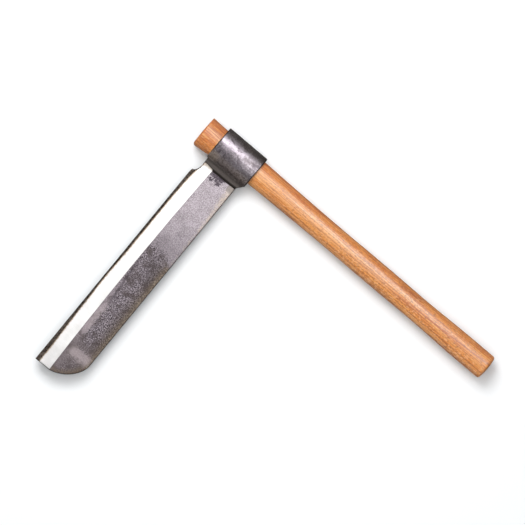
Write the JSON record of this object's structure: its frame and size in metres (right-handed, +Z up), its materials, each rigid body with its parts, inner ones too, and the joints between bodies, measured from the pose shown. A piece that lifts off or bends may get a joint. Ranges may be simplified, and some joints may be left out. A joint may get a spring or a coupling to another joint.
{
  "type": "froe",
  "caption": "Froe for riving wood: a straight bevelled steel blade with an eye at its end, and a tapered wooden handle wedged in the eye at a right angle to the blade.",
  "frame": {"origin": "middle of the tool's box on the plane that it lies on, under the lowest point of the eye", "axes": "+X along the handle from the flared stub to the butt, -Y along the blade from the eye to its end, +Z up through the flat of the blade"},
  "size_m": [0.4504, 0.3669, 0.0447],
  "materials": {
    "blade_steel": "forged with thin grey scale, bevels ground bright",
    "eye_steel": "forged, dark scale rubbed bright in places",
    "weld_steel": "dark as welded",
    "handle_wood": "oiled, straight grain, satin"
  },
  "bodies": {
    "head": {"blade": "blade_steel", "eye_socket": "eye_steel", "lip_welds": "weld_steel"},
    "haft": {"handle": "handle_wood"}
  },
  "joints": [
    {"name": "handle_slide", "type": "slide", "parent": "head", "child": "haft", "axis": [-1, 0, 0], "range_m": [0, 0.44]}
  ]
}
